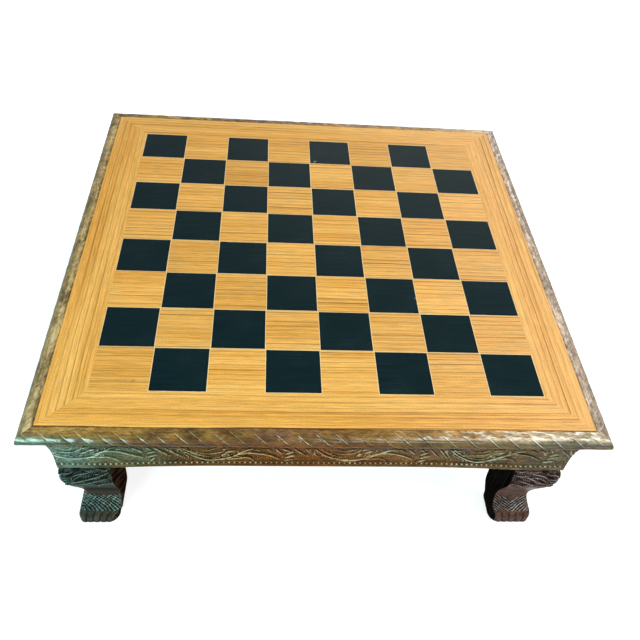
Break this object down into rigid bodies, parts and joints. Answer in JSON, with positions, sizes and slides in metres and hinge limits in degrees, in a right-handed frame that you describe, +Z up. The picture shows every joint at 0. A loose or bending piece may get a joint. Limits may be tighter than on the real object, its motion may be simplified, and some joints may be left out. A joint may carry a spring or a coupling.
{
  "type": "chess table",
  "caption": "Low square chess table: veneered chequered board with a mitred border and corded nosing, on a coved frieze and four short paw-footed legs.",
  "frame": {"origin": "on the ground, under the middle of the board", "axes": "+Z up out of the playing surface, +X to the right and +Y to the back, both along the rows of squares; the front is the long view in the picture"},
  "size_m": [0.3808, 0.3808, 0.14],
  "materials": {
    "teak_veneer": "satin polish, straight grain",
    "ebonised_veneer": "ebonised, satin",
    "pale_line": "satin polish",
    "plywood_core": "bare, oiled by age",
    "polished_hardwood": "dark French polish, worn on the edges",
    "bare_hardwood": "bare",
    "steel_screw": "plain"
  },
  "bodies": {
    "root": {"block_screws": "steel_screw", "board_core": "plywood_core", "border_veneer_back": "teak_veneer", "border_veneer_front": "teak_veneer", "border_veneer_left": "teak_veneer", "border_veneer_right": "teak_veneer", "core_screws": "steel_screw", "corner_block_back_left": "bare_hardwood", "corner_block_back_right": "bare_hardwood", "corner_block_front_left": "bare_hardwood", "corner_block_front_right": "bare_hardwood", "dark_squares_rank_1": "ebonised_veneer", "dark_squares_rank_2": "ebonised_veneer", "dark_squares_rank_3": "ebonised_veneer", "dark_squares_rank_4": "ebonised_veneer", "dark_squares_rank_5": "ebonised_veneer", "dark_squares_rank_6": "ebonised_veneer", "dark_squares_rank_7": "ebonised_veneer", "dark_squares_rank_8": "ebonised_veneer", "frieze_rail_back": "polished_hardwood", "frieze_rail_front": "polished_hardwood", "frieze_rail_left": "polished_hardwood", "frieze_rail_right": "polished_hardwood", "inlaid_lines_rank_1": "pale_line", "inlaid_lines_rank_2": "pale_line", "inlaid_lines_rank_3": "pale_line", "inlaid_lines_rank_4": "pale_line", "inlaid_lines_rank_5": "pale_line", "inlaid_lines_rank_6": "pale_line", "inlaid_lines_rank_7": "pale_line", "inlaid_lines_rank_8": "pale_line", "leg_back_left": "polished_hardwood", "leg_back_right": "polished_hardwood", "leg_dowels": "bare_hardwood", "leg_front_left": "polished_hardwood", "leg_front_right": "polished_hardwood", "light_squares_rank_1": "teak_veneer", "light_squares_rank_2": "teak_veneer", "light_squares_rank_3": "teak_veneer", "light_squares_rank_4": "teak_veneer", "light_squares_rank_5": "teak_veneer", "light_squares_rank_6": "teak_veneer", "light_squares_rank_7": "teak_veneer", "light_squares_rank_8": "teak_veneer", "nosing_back": "polished_hardwood", "nosing_front": "polished_hardwood", "nosing_left": "polished_hardwood", "nosing_right": "polished_hardwood"}
  },
  "joints": []
}
